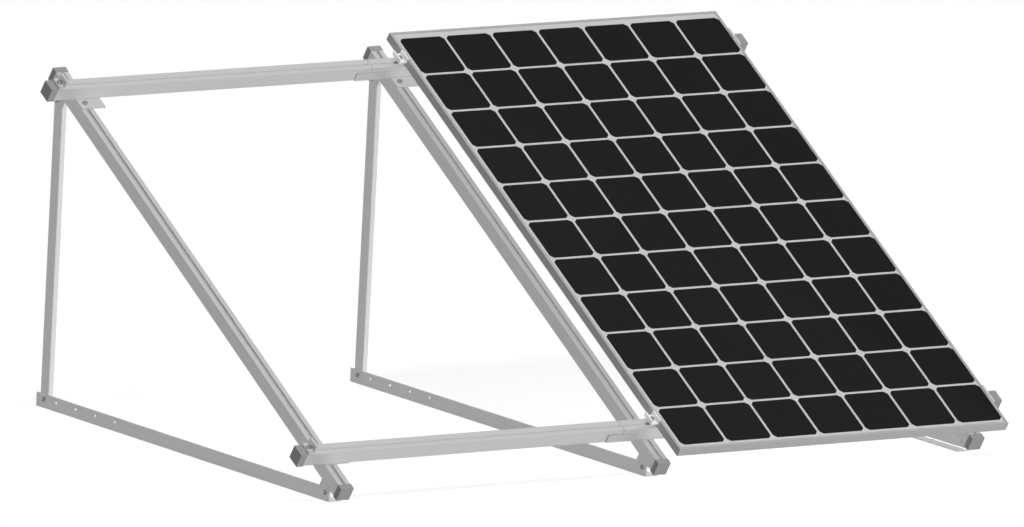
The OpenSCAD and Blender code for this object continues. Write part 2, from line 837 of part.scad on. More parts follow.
plate_bolts();
splice_bolts();
clamp_bolts();
clamp_spacers();
slot_nuts();
panel_frame_left();
panel_frame_right();
panel_frame_lower();
panel_frame_upper();
panel_glass();
solar_cells();
panel_backsheet();
panel_junction_box();
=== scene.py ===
"""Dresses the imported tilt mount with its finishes, threaded fasteners, a junction box and a studio."""

import math

import bpy
import numpy as np
from mathutils import Matrix, Vector


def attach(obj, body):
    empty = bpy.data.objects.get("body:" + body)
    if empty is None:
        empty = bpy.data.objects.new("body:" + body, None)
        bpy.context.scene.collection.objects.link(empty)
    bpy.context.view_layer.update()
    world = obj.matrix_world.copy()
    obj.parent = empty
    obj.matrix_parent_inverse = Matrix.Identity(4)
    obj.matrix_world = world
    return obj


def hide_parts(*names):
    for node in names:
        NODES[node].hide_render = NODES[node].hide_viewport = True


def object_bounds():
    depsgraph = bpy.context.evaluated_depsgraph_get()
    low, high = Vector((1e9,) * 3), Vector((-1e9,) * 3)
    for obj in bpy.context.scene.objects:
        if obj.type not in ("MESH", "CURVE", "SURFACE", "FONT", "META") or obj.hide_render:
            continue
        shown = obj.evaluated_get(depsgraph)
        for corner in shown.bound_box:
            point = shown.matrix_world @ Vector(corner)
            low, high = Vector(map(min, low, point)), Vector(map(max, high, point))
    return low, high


bl_info = {
    "name": "Solar Panel Tilt Mount",
    "version": (1, 0, 0),
    "blender": (4, 5, 0),
    "location": "View3D > Sidebar > Tilt Mount",
    "description": "Finishes and details for an aluminium tilt mount that carries one framed solar panel",
    "category": "Object",
}

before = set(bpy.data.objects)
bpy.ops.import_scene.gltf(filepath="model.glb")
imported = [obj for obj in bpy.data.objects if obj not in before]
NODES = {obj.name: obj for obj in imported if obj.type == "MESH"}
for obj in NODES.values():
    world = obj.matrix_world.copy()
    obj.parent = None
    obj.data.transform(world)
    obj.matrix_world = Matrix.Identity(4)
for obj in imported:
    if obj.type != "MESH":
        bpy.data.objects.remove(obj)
CAD_LOW, CAD_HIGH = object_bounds()

# Hex heads: bevel angle, washer face's radius over the flats, and its height
BEVEL_ANGLE = math.radians(30)
FACE_SHARE = 0.475
WASHER_FACE = 0.0003
# Corners of a fastener that lie further out than this share of the shank's radius belong to its head
HEAD_SHARE = 1.15
# Threads: depth and depth of the bevelled tip, both over the pitch, and the plain neck below the head
THREAD_DEPTH = 0.54
TIP_DEPTH = 0.6
NECK = 0.0004
# Faces that meet at more than this angle keep a sharp edge
SHARP_ANGLE = math.radians(32)
# Radius that edges are eased by on stock, on the frame, caps and fasteners, and on the junction box
STOCK_EASE, THIN_EASE, BOX_EASE = 0.0014, 0.0008, 0.0006
# Reach of the painted shade in corners, on faces and on fasteners
FACE_REACH, FASTENER_REACH = 0.0025, 0.006
# Scale and detail of the draw lines' tone, relief and clouds, and of wide and fine mottling
GRAIN_NOISES = (((2.0, 260.0, 260.0), 3.0), ((14.0, 1700.0, 1700.0), 2.0), ((2.5, 9.0, 9.0), 2.0))
MOTTLE_NOISES = ((55.0, 3.0), (1400.0, 2.0))
# Share of the glass's painted reflection that is left when it is seen straight on
PAINTED_REFLECTION_FACING = 0.029
# Specular level of matte plastic and of the panel's frame, and its roughness
MATTE_SPECULAR = 0.12
FRAME_ROUGHNESS = 0.55
# Junction box: corner radius, inset and depth of its lid, step from the lid to the body, and eased edges
BOX_RADIUS, LID_INSET, LID_DEPTH, LID_STEP = 0.006, 0.002, 0.0045, 0.004
BODY_EASE, LID_EASE = 0.001, 0.0015
# Cable glands: least length, drop below the body's middle, and width over the flats
GLAND_REACH, GLAND_DROP, GLAND_FLATS = 0.004, 0.002, 0.0078
# Glass: corner radius and eased edge
GLASS_RADIUS, GLASS_EASE = 0.002, 0.0003
# The floor lies a little below the mount, and the camera sees between two distances
FLOOR_GAP, CLIP_START, CLIP_END = 0.0005, 1.0, 400.0

# Places taken from the frame


def corner_array(node):
    """All corners of a CAD node's mesh as an array of x, y, z."""
    mesh = NODES[node].data
    flat = np.empty(len(mesh.vertices) * 3, np.float32)
    mesh.vertices.foreach_get("co", flat)
    return flat.reshape(-1, 3).astype(float)


def face_direction(node):
    """Outward direction of the node's largest face that looks upwards, by areas added up per normal."""
    mesh = NODES[node].data
    normals = np.empty(len(mesh.polygons) * 3, np.float32)
    areas = np.empty(len(mesh.polygons), np.float32)
    mesh.polygons.foreach_get("normal", normals)
    mesh.polygons.foreach_get("area", areas)
    keys, group = np.unique(normals.reshape(-1, 3).round(3), axis=0, return_inverse=True)
    total = np.bincount(group.ravel(), weights=areas) * (keys[:, 2] > 0)
    best = normals.reshape(-1, 3)[group.ravel() == total.argmax()].mean(0)
    return Vector(best).normalized()


OUT = face_direction("panel_glass")
ACROSS = Vector((1, 0, 0))
UP_SLOPE = OUT.cross(ACROSS)
TILT = math.atan2(UP_SLOPE.z, UP_SLOPE.y)
# Turns the frame's coordinates into x along the rails, y up the slope and z out of the panel
TO_SLOPE = np.array([ACROSS, UP_SLOPE, OUT])


def slope_box(*names):
    """Lowest and highest corner of CAD nodes, along the rails, up the slope and out of the panel."""
    points = np.concatenate([corner_array(name) for name in names]) @ TO_SLOPE.T
    return points.min(0), points.max(0)


CELLS_LOW, CELLS_HIGH = slope_box("solar_cells")


def separate_solids(node):
    """Corners of each separate solid of a node: linked corners get the lowest label among them."""
    mesh = NODES[node].data
    points = corner_array(node)
    _, first, index = np.unique(points.round(5), axis=0, return_index=True, return_inverse=True)
    index = index.ravel()
    loops = np.empty(len(mesh.loops), np.int32)
    mesh.loops.foreach_get("vertex_index", loops)
    triangles = index[loops.reshape(-1, 3)]
    a, b = np.concatenate([triangles[:, (0, 1)], triangles[:, (1, 2)]]).T
    label = np.arange(len(first))
    while True:
        before = label.copy()
        np.minimum.at(label, a, label[b])
        np.minimum.at(label, b, label[a])
        if (label == before).all():
            return [points[first[label == name]] for name in np.unique(label)]


class Fastener:
    """Place and sizes of one bolt or nut, read from its solid's corners and the line of its axis."""

    def __init__(self, points, axis, shank_r):
        axis = np.array(axis)
        side = np.cross(axis, (0.0, 1.0, 0.0) if abs(axis[1]) < 0.9 else (1.0, 0.0, 0.0))
        side /= np.linalg.norm(side)
        other = np.cross(axis, side)
        local = points @ np.array([side, other, axis]).T
        middle = (local.min(0) + local.max(0)) / 2
        reach = np.hypot(*(local[:, :2] - middle[:2]).T)
        head = reach > shank_r * HEAD_SHARE
        head_span = local[head, 2].min(), local[head, 2].max()
        span = local[:, 2].min(), local[:, 2].max()
        upwards = span[1] - head_span[1] < head_span[0] - span[0] + 1e-6
        sign = 1.0 if upwards else -1.0
        seat = head_span[0] if upwards else head_span[1]
        self.head = head_span[1] - head_span[0]
        self.shank = (head_span[0] - span[0]) if upwards else (span[1] - head_span[1])
        self.flats = 2 * reach.max() * math.cos(math.pi / 6)
        corner = local[reach.argmax(), :2] - middle[:2]
        turn = corner / np.linalg.norm(corner)
        x = turn[0] * side + turn[1] * other
        z = axis * sign
        y = np.cross(z, x)
        self.origin = middle[0] * side + middle[1] * other + seat * axis
        self.axes = np.array([x, y, z])

    def place(self, points):
        """Points from the fastener's own frame, seated at z = 0 with its head above, to the mount's."""
        return points @ self.axes + self.origin


# Meshes worked out as whole arrays


def ring_faces(rows, columns, start=0, closed=False):
    """Quads between rows of a grid whose columns close into a ring, and whose rows may close too."""
    row, column = np.meshgrid(np.arange(rows if closed else rows - 1), np.arange(columns), indexing="ij")
    after = (row + 1) % rows
    beside = (column + 1) % columns
    near, far = row * columns, after * columns
    quads = [near + column, near + beside, far + beside, far + column]
    return np.stack(quads, -1).reshape(-1, 4) + start


def end_faces(first, columns, centre, flip):
    """Triangles from a ring of corners to its centre corner."""
    ring = first + np.arange(columns)
    beside = first + (np.arange(columns) + 1) % columns
    middle = np.full(columns, centre)
    return np.stack([beside, ring, middle] if flip else [ring, beside, middle], -1)


def tube(rows):
    """Corners and faces of a solid of stacked rings, from its lower end up: both ends get a centre."""
    count, columns, _ = rows.shape
    corners = np.concatenate([rows.reshape(-1, 3), rows[:1].mean(1), rows[-1:].mean(1)])
    low = end_faces(0, columns, count * columns, True)
    high = end_faces((count - 1) * columns, columns, count * columns + 1, False)
    return corners, [ring_faces(count, columns), low, high]


def torus(rows):
    """Corners and faces of a solid of rings that close on themselves, such as a nut with its bore."""
    count, columns, _ = rows.shape
    return rows.reshape(-1, 3), [ring_faces(count, columns, closed=True)]


def make_piece(name, parts, material, replaced=()):
    """One object from several solids, for the CAD nodes it replaces: quads are smooth, end faces flat."""
    corners, faces, total = [], [], 0
    for points, groups in parts:
        corners.append(points)
        faces.extend((group + total).tolist() for group in groups)
        total += len(points)
    mesh = bpy.data.meshes.new(name)
    mesh.from_pydata(np.concatenate(corners).tolist(), [], [face for group in faces for face in group])
    sides = np.empty(len(mesh.polygons), np.int32)
    mesh.polygons.foreach_get("loop_total", sides)
    mesh.polygons.foreach_set("use_smooth", sides == 4)
    mesh.set_sharp_from_angle(angle=SHARP_ANGLE)
    mesh.materials.append(material)
    piece = bpy.data.objects.new(name, mesh)
    bpy.context.scene.collection.objects.link(piece)
    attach(piece, "root")
    if replaced:
        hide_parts(*replaced)
    return piece


def hex_reach(turn, flats):
    """Distance from a hexagon's centre to its side: half the flats over the cosine off the flat."""
    return flats / 2 / np.cos((turn % (math.pi / 3)) - math.pi / 6)


def hex_rows(flats, low, high, columns, both_ends):
    """Rings of a hex head: the hexagon, held inside a flat cone at the top and, for a nut, below."""
    turn = np.arange(columns) * 2 * math.pi / columns
    face_r = flats * FACE_SHARE
    slope = math.tan(BEVEL_ANGLE)
    bevel = (flats / 2 / math.cos(math.pi / 6) - face_r) * slope
    steps = np.linspace(0, bevel, 5)
    lower = low + steps if both_ends else np.array([low, low + WASHER_FACE])
    heights = np.concatenate([lower, high - steps[::-1]])
    to_top = face_r + (high - heights) / slope
    to_foot = face_r + (heights - low) / slope
    limit = np.minimum(to_top, to_foot) if both_ends else to_top
    reach = np.minimum(hex_reach(turn, flats)[None, :], limit[:, None])
    if not both_ends:
        washer = np.full((2, columns), face_r)
        reach = np.concatenate([washer, reach[1:]])
        heights = np.concatenate([[low, low + WASHER_FACE], heights[1:]])
    return reach, heights, turn


def thread_rows(radius, pitch, low, high, columns):
    """Rings of a thread: a triangle wave of height over pitch less turn, which fades out at the ends."""
    turn = np.arange(columns) * 2 * math.pi / columns
    heights = np.linspace(low, high, max(2, int(round((high - low) / pitch * 6)) + 1))
    phase = (heights[:, None] / pitch - turn[None, :] / (2 * math.pi)) % 1.0
    wave = np.abs(2 * phase - 1)
    fade = np.clip(np.minimum(heights - low, high - heights) / pitch, 0, 1)[:, None]
    depth = pitch * THREAD_DEPTH
    tip = depth * 0.5 * (1 - fade) * (heights[:, None] < (low + high) / 2)
    return radius - depth * wave * fade - tip, heights, turn


def ring_points(reach, heights, turn):
    """Corners of rings: reach and turn are polar coordinates in each ring's plane."""
    x = reach * np.cos(turn)[None, :]
    y = reach * np.sin(turn)[None, :]
    z = np.broadcast_to(np.asarray(heights)[:, None], x.shape)
    return np.stack([x, y, z], -1)


def bolt_solid(fastener, shank_r, pitch, thread_len, columns=36):
    """Hex bolt: a threaded shank with a bevelled tip, a washer face and a bevelled head, in one stack."""
    tip = -fastener.shank
    thread_top = min(tip + thread_len, -NECK)
    thread, thread_z, turn = thread_rows(shank_r, pitch, tip + pitch / 2, thread_top, columns)
    head, head_z, _ = hex_rows(fastener.flats, 0.0, fastener.head, columns, False)
    point = np.full((1, columns), shank_r - pitch * TIP_DEPTH)
    shank = np.full((2, columns), shank_r)
    reach = np.concatenate([point, thread, shank, head])
    heights = np.concatenate([[tip], thread_z, [thread_top + NECK / 2, 0.0], head_z])
    corners, faces = tube(ring_points(reach, heights, turn))
    return fastener.place(corners), faces


def nut_solid(fastener, bore_r, columns=36):
    """Hex nut: bevelled hexagon outside, and a bore that opens with a small countersink at both faces."""
    reach, heights, turn = hex_rows(fastener.flats, 0.0, fastener.head, columns, True)
    sink = 0.0005
    bore = np.stack([np.full(columns, bore_r + r) for r in (sink, 0, 0, sink)])
    bore_z = np.array([fastener.head, fastener.head - sink, sink, 0.0])
    reach, heights = np.concatenate([reach, bore]), np.concatenate([heights, bore_z])
    corners, faces = torus(ring_points(reach, heights, turn))
    return fastener.place(corners), faces


def rounded_ring(low, high, radius, height, per_corner=8):
    """Ring of a rectangle with round corners: four arcs, in turn, about centres set in by the radius."""
    turn = np.linspace(0, math.pi / 2, per_corner)
    sides = [(high[0], high[1], 0), (low[0], high[1], 1), (low[0], low[1], 2), (high[0], low[1], 3)]
    arcs = []
    for x, y, quarter in sides:
        centre = np.array([x - math.copysign(radius, x - (low[0] + high[0]) / 2),
                           y - math.copysign(radius, y - (low[1] + high[1]) / 2)])
        angle = turn + quarter * math.pi / 2
        arcs.append(centre + radius * np.stack([np.cos(angle), np.sin(angle)], -1))
    flat = np.concatenate(arcs)
    return np.concatenate([flat, np.full((len(flat), 1), height)], 1)


def rounded_box(low, high, radius, ease):
    """Box with round corners and one eased edge: its rings shrink there by a quarter circle."""
    turns = np.linspace(0, math.pi / 2, 5)
    rings = []
    for t in turns[::-1]:
        inset = ease * (1 - math.cos(t))
        height = low[2] + ease * (1 - math.sin(t))
        rings.append(rounded_ring(low[:2] + inset, high[:2] - inset, radius - inset, height))
    rings.append(rounded_ring(low[:2], high[:2], radius, high[2]))
    return tube(np.array(rings))


def cut_plates(low, step, count, gap, cut, bottom, top):
    """Grid of thin plates with cut corners: eight corners round each middle, repeated at every step."""
    x, y = (step - gap) / 2
    corner = np.array([(x, y - cut), (x - cut, y), (cut - x, y), (-x, y - cut)])
    outline = np.concatenate([corner, -corner])
    column, row = np.meshgrid(np.arange(count[0]), np.arange(count[1]), indexing="ij")
    middles = low + (np.stack([column, row], -1).reshape(-1, 1, 1, 2) + 0.5) * step
    flat = np.broadcast_to(middles + outline, (len(middles), 2, 8, 2))
    level = np.broadcast_to(np.array([bottom, top])[:, None, None], (len(middles), 2, 8, 1))
    first = np.arange(len(middles)).reshape(-1, 1, 1) * 16
    groups = [ring_faces(2, 8), np.arange(8, 16)[None], np.arange(7, -1, -1)[None]]
    faces = [(first + group).reshape(-1, group.shape[1]) for group in groups]
    return np.concatenate([flat, level], -1).reshape(-1, 3), faces


def from_slope(part):
    """Puts a solid drawn in slope coordinates into the mount's frame."""
    corners, faces = part
    return corners @ TO_SLOPE, faces


# Node groups that more than one finish uses


def new_group(name, inputs, outputs):
    """Empty shader group with sockets given as name: type."""
    group = bpy.data.node_groups.new(name, "ShaderNodeTree")
    for direction, sockets in (("INPUT", inputs), ("OUTPUT", outputs)):
        for label, kind in sockets.items():
            group.interface.new_socket(label, in_out=direction, socket_type=f"NodeSocket{kind}")
    start = group.nodes.new("NodeGroupInput")
    end = group.nodes.new("NodeGroupOutput")
    return group, start, end


def add_node(tree, kind, inputs=None, **settings):
    """New shader node with its settings, whose inputs take links or values."""
    node = tree.nodes.new(f"ShaderNode{kind}")
    for key, value in settings.items():
        setattr(node, key, value)
    for key, value in (inputs or {}).items():
        if isinstance(value, bpy.types.NodeSocket):
            tree.links.new(value, node.inputs[key])
        else:
            node.inputs[key].default_value = value
    return node


def add_math(tree, operation, a, b, clamp=False):
    """Output of a math node between links or numbers."""
    return add_node(tree, "Math", {0: a, 1: b}, operation=operation, use_clamp=clamp).outputs[0]


def add_noise(tree, vector, scale, detail):
    """Value of a noise texture over a vector link."""
    inputs = {"Vector": vector, "Scale": scale, "Detail": detail}
    return add_node(tree, "TexNoise", inputs).outputs["Fac"]


def add_stretch(tree, vector, scale):
    """Vector link multiplied by a scale for each axis."""
    return add_node(tree, "VectorMath", {0: vector, 1: scale}, operation="MULTIPLY").outputs[0]


def grain_group():
    """Draw lines of metal: noise stretched along x, coarse for the tone and fine for the surface."""
    outputs = {"Tone": "Float", "Lines": "Float", "Cloud": "Float"}
    group, start, end = new_group("Drawn Grain", {"Vector": "Vector"}, outputs)
    for socket, (scale, detail) in zip(end.inputs, GRAIN_NOISES):
        stretched = add_stretch(group, start.outputs[0], scale)
        group.links.new(add_noise(group, stretched, 1.0, detail), socket)
    return group


def edge_group():
    """Eased edges: a normal rounded over the radius, and a mask of how far it leans from the face."""
    outputs = {"Edge": "Float", "Normal": "Vector"}
    group, start, end = new_group("Eased Edge", {"Radius": "Float"}, outputs)
    bevel = add_node(group, "Bevel", {"Radius": start.outputs["Radius"]}, samples=4)
    flat = add_node(group, "NewGeometry").outputs["True Normal"]
    dot = add_node(group, "VectorMath", {0: bevel.outputs[0], 1: flat}, operation="DOT_PRODUCT")
    lean = add_math(group, "SUBTRACT", 1.0, dot.outputs["Value"])
    edge = add_math(group, "MULTIPLY", lean, 6.0, clamp=True)
    group.links.new(edge, end.inputs["Edge"])
    group.links.new(bevel.outputs[0], end.inputs["Normal"])
    return group


def contact_group():
    """Mask of painted shade where surfaces meet: 1 in the open, and less where others stand within the
    reach.
    """
    group, start, end = new_group("Contact Shade", {"Reach": "Float"}, {"Open": "Float"})
    near = add_node(group, "AmbientOcclusion", {"Distance": start.outputs["Reach"]}, samples=6)
    group.links.new(near.outputs["AO"], end.inputs["Open"])
    return group


def mottle_group():
    """Mottling of plated and moulded surfaces: a wide and a fine noise of the same coordinates."""
    outputs = {"Wide": "Float", "Fine": "Float"}
    group, start, end = new_group("Surface Mottle", {"Vector": "Vector"}, outputs)
    for socket, (scale, detail) in zip(end.inputs, MOTTLE_NOISES):
        group.links.new(add_noise(group, start.outputs[0], scale, detail), socket)
    return group


# Node groups made so far, by their makers
GROUPS = {}


def place_group(tree, maker, inputs):
    """Puts a maker's node group, which is built at its first use, into a material."""
    if maker not in GROUPS:
        GROUPS[maker] = maker()
    return add_node(tree, "Group", inputs, node_tree=GROUPS[maker])


# Materials


def start_material(name, metallic, specular=0.5):
    """New material: its tree, its Principled shader and the object's own coordinates."""
    material = bpy.data.materials.new(name)
    material.use_nodes = True
    tree = material.node_tree
    shader = tree.nodes["Principled BSDF"]
    shader.inputs["Metallic"].default_value = metallic
    shader.inputs["Specular IOR Level"].default_value = specular
    return material, tree, shader, add_node(tree, "TexCoord").outputs["Object"]


def add_mapping(tree, vector, rotation=(0.0, 0.0, 0.0), location=(0.0, 0.0, 0.0)):
    """Coordinates that are turned and then moved."""
    inputs = {"Vector": vector, "Rotation": rotation, "Location": location}
    return add_node(tree, "Mapping", inputs).outputs[0]


def add_mix(tree, factor, a, b, blend="MIX"):
    """Colour mixed between links or colours."""
    a, b = ((*value, 1.0) if isinstance(value, tuple) else value for value in (a, b))
    mix = add_node(tree, "Mix", {0: factor, 6: a, 7: b}, data_type="RGBA", blend_type=blend)
    return mix.outputs[2]


def add_range(tree, value, low, high):
    """A value from 0 to 1 spread between two numbers."""
    return add_node(tree, "MapRange", {"Value": value, "To Min": low, "To Max": high}).outputs[0]


def add_lines_and_shade(tree, colour, edge, settings, reach=FACE_REACH):
    """Colour darkened along eased edges, and painted shade in the corners where surfaces meet."""
    contact = place_group(tree, contact_group, {"Reach": reach})
    # Painted shade: the colour is darkened where other surfaces stand within the reach
    corner = add_range(tree, contact.outputs["Open"], settings.corner_shade, 1.0)
    lines = add_range(tree, edge, 1.0, settings.edge_tone)
    both = add_math(tree, "MULTIPLY", corner, lines)
    return add_mix(tree, 1.0, colour, both, "MULTIPLY")


def add_bump(tree, height, strength, distance, normal=None):
    """Normal bumped by a height link, standing on another normal."""
    inputs = {"Height": height, "Strength": strength, "Distance": distance}
    if normal is not None:
        inputs["Normal"] = normal
    return add_node(tree, "Bump", inputs).outputs[0]


def shaded(colour, factor):
    """A colour multiplied by a factor, kept under 1."""
    return tuple(min(1.0, c * factor) for c in colour)


def link_finish(tree, shader, colour, rough, bump):
    """Joins colour, roughness and bumped normal to the shader."""
    for label, value in (("Base Color", colour), ("Roughness", rough), ("Normal", bump)):
        tree.links.new(value, shader.inputs[label])


def place_mottle(tree, coordinates):
    """The shared mottling over the object's coordinates, and its two outputs."""
    mottle = place_group(tree, mottle_group, {"Vector": coordinates})
    return mottle.outputs["Wide"], mottle.outputs["Fine"]


def place_rim(tree, radius):
    """The shared eased edge at a radius, and its two outputs."""
    rim = place_group(tree, edge_group, {"Radius": radius})
    return rim.outputs["Edge"], rim.outputs["Normal"]


def aluminium(name, colour, rotation, settings, roughness=None, metallic=None, specular=0.5,
              ease=STOCK_EASE):
    """Satin aluminium whose draw lines run along the axis that the rotation brings to x."""
    metallic = settings.metallic if metallic is None else metallic
    roughness = settings.roughness if roughness is None else roughness
    material, tree, shader, coordinates = start_material(name, metallic, specular)
    grain = place_group(tree, grain_group, {"Vector": add_mapping(tree, coordinates, rotation)})
    edge, normal = place_rim(tree, ease)
    spread = settings.grain_contrast
    tone = add_mix(tree, grain.outputs["Tone"], shaded(colour, 1 - spread), shaded(colour, 1 + spread))
    cloud = add_mix(tree, grain.outputs["Cloud"], (1 - spread,) * 3, (1.0, 1.0, 1.0))
    body = add_mix(tree, 1.0, tone, cloud, "MULTIPLY")
    # Darkened lines along eased edges, and painted shade in corners where surfaces meet
    body = add_lines_and_shade(tree, body, edge, settings)
    rough = add_range(tree, grain.outputs["Lines"], roughness - 0.06, roughness + 0.06)
    bump = add_bump(tree, grain.outputs["Lines"], settings.grain_depth, 0.0002, normal)
    link_finish(tree, shader, body, rough, bump)
    return material


def plated_steel(name, colour, tint, lines, roughness=0.34):
    """Zinc plating: the colour drifts to a warmer tint in wide patches, over a fine grain."""
    material, tree, shader, coordinates = start_material(name, 0.6)
    wide, fine = place_mottle(tree, coordinates)
    edge, normal = place_rim(tree, THIN_EASE)
    # Painted shade: the plating is darkened where other surfaces stand within the wider fastener reach, as
    # on the sides near the seat
    body = add_lines_and_shade(tree, add_mix(tree, wide, colour, tint), edge, lines, FASTENER_REACH)
    rough = add_range(tree, fine, roughness - 0.08, roughness + 0.1)
    link_finish(tree, shader, body, rough, add_bump(tree, fine, 0.25, 0.0001, normal))
    return material


def moulded_plastic(name, colour, roughness, ease, lines):
    """Moulded plastic: a fine spark-eroded grain, slightly uneven tone and eased edges."""
    material, tree, shader, coordinates = start_material(name, 0.0, MATTE_SPECULAR)
    wide, fine = place_mottle(tree, coordinates)
    edge, normal = place_rim(tree, ease)
    # Darkened lines along eased edges, and painted shade in corners where surfaces meet
    body = add_lines_and_shade(tree, add_mix(tree, wide, shaded(colour, 0.93), shaded(colour, 1.07)), edge, lines)
    rough = add_range(tree, fine, roughness - 0.05, roughness + 0.08)
    link_finish(tree, shader, body, rough, add_bump(tree, fine, 0.3, 0.00012, normal))
    return material


def glass_sheet(name, settings):
    """Tempered front glass: mostly clear, so that alpha shows what lies below.
    The studio's even reflection is painted into its colour as a pale veil: it grows towards flat angles with
    the facing's fifth power.
    """
    material, tree, shader, _ = start_material(name, 0.0, 0.0)
    shader.inputs["Alpha"].default_value = settings.glass_alpha
    shader.inputs["Roughness"].default_value = 0.2
    # Painted reflection: a pale colour that grows towards flat angles stands in for the studio's reflection
    flat = add_math(tree, "POWER", add_node(tree, "LayerWeight").outputs["Facing"], 5.0)
    low, high = (settings.painted_glass_reflection * PAINTED_REFLECTION_FACING,) * 3, (settings.painted_glass_reflection,) * 3
    tree.links.new(add_mix(tree, flat, low, high), shader.inputs["Base Color"])
    return material


def cell_silicon(name, low, step, settings):
    """Near-black back-contact cells: a random value of row and column gives each its own slight tone."""
    material, tree, shader, coordinates = start_material(name, 0.0, 0.0)
    local = add_mapping(tree, coordinates, (-TILT, 0.0, 0.0), (-low[0], -low[1], 0.0))
    index = add_stretch(tree, local, (1 / step[0], 1 / step[1], 0.0))
    whole = add_node(tree, "VectorMath", {0: index}, operation="FLOOR")
    chance = add_node(tree, "TexWhiteNoise", {"Vector": whole.outputs[0]})
    colour = tuple(settings.cell_colour)
    tone = add_mix(tree, chance.outputs["Value"], shaded(colour, 0.9), shaded(colour, 1.1))
    wide, fine = place_mottle(tree, coordinates)
    shade = add_mix(tree, wide, (0.94, 0.94, 0.95), (1.0, 1.0, 1.0))
    tree.links.new(add_mix(tree, 1.0, tone, shade, "MULTIPLY"), shader.inputs["Base Color"])
    tree.links.new(add_range(tree, fine, 0.32, 0.42), shader.inputs["Roughness"])
    return material


def matte_sheet(name, colour):
    """Backsheet: a pale polymer film with a faint pressed texture."""
    material, tree, shader, coordinates = start_material(name, 0.0, 0.3)
    wide, fine = place_mottle(tree, coordinates)
    body = add_mix(tree, wide, shaded(colour, 0.97), shaded(colour, 1.02))
    rough = add_range(tree, fine, 0.5, 0.62)
    link_finish(tree, shader, body, rough, add_bump(tree, fine, 0.15, 0.0001))
    return material


def dress(material, *names):
    """Gives CAD nodes a material in every slot of their meshes."""
    for name in names:
        mesh = NODES[name].data
        if not mesh.materials:
            mesh.materials.append(material)
        for i in range(len(mesh.materials)):
            mesh.materials[i] = material


SIDES = ("left", "middle", "right")
ENDS = ("lower", "upper")
# Turns that bring the length of each stock to x
ALONG_RAILS = (0.0, 0.0, 0.0)
ALONG_SLOPE = (-TILT, 0.0, -math.pi / 2)
ALONG_FLOOR = (0.0, 0.0, -math.pi / 2)
UPRIGHT = (0.0, math.pi / 2, 0.0)

# Settings


class MetalSettings(bpy.types.PropertyGroup):
    """Colours and finish of the aluminium."""

    stock_colour: bpy.props.FloatVectorProperty(
        name="Stock colour", description="Colour of extrusions, angles and plates", subtype="COLOR",
        default=(0.48, 0.48, 0.476), min=0, max=1)
    # Painted highlight: the mid clamps' colour is lighter than the stock, standing in for the highlights on
    # their lips
    clamp_highlight_colour: bpy.props.FloatVectorProperty(
        name="Clamp colour", description="Colour of the bright mid clamps", subtype="COLOR",
        default=(0.78, 0.78, 0.765), min=0, max=1)
    frame_colour: bpy.props.FloatVectorProperty(
        name="Frame colour", description="Colour of the panel's frame", subtype="COLOR",
        default=(0.365, 0.365, 0.365), min=0, max=1)
    metallic: bpy.props.FloatProperty(
        name="Metallic", description="How far the satin surface reflects as bare metal",
        default=0.3, min=0, max=1)
    frame_metallic: bpy.props.FloatProperty(
        name="Frame metallic", description="How far the matte frame reflects as bare metal",
        default=0.03, min=0, max=1)
    roughness: bpy.props.FloatProperty(
        name="Roughness", description="Roughness of the satin surface", default=0.42, min=0.1, max=1)
    grain_contrast: bpy.props.FloatProperty(
        name="Grain contrast", description="Lightest and darkest draw line from the mean",
        default=0.05, min=0, max=0.3)
    edge_tone: bpy.props.FloatProperty(
        name="Edge tone", description="Tone of the outer edges against the faces", default=0.6, min=0, max=1)
    # Painted shade: how far the colour is darkened in corners where surfaces meet
    corner_shade: bpy.props.FloatProperty(
        name="Corner tone", description="Tone in the corners where surfaces meet",
        default=0.36, min=0, max=1)
    grain_depth: bpy.props.FloatProperty(
        name="Grain depth", description="Strength of the draw lines' relief", default=0.12, min=0, max=1)


class FastenerSettings(bpy.types.PropertyGroup):
    """Sizes and colours of bolts, nuts and plastic caps."""

    bolt_d: bpy.props.FloatProperty(
        name="Bolt diameter", description="Thread diameter of the hex bolts", default=0.008, unit="LENGTH")
    pitch: bpy.props.FloatProperty(
        name="Thread pitch", description="Distance between the threads of the hex bolts",
        default=0.00125, unit="LENGTH")
    splice_d: bpy.props.FloatProperty(
        name="Splice bolt diameter", description="Thread diameter of the splice bolts",
        default=0.006, unit="LENGTH")
    splice_pitch: bpy.props.FloatProperty(
        name="Splice thread pitch", description="Pitch of the splice bolts", default=0.001, unit="LENGTH")
    zinc_colour: bpy.props.FloatVectorProperty(
        name="Zinc colour", description="Bluish colour of the plating", subtype="COLOR",
        default=(0.185, 0.215, 0.245), min=0, max=1)
    zinc_tint: bpy.props.FloatVectorProperty(
        name="Zinc tint", description="Warmer colour that the plating drifts to", subtype="COLOR",
        default=(0.24, 0.265, 0.285), min=0, max=1)
    cap_colour: bpy.props.FloatVectorProperty(
        name="Cap colour", description="Colour of the plastic end caps", subtype="COLOR",
        default=(0.255, 0.255, 0.255), min=0, max=1)


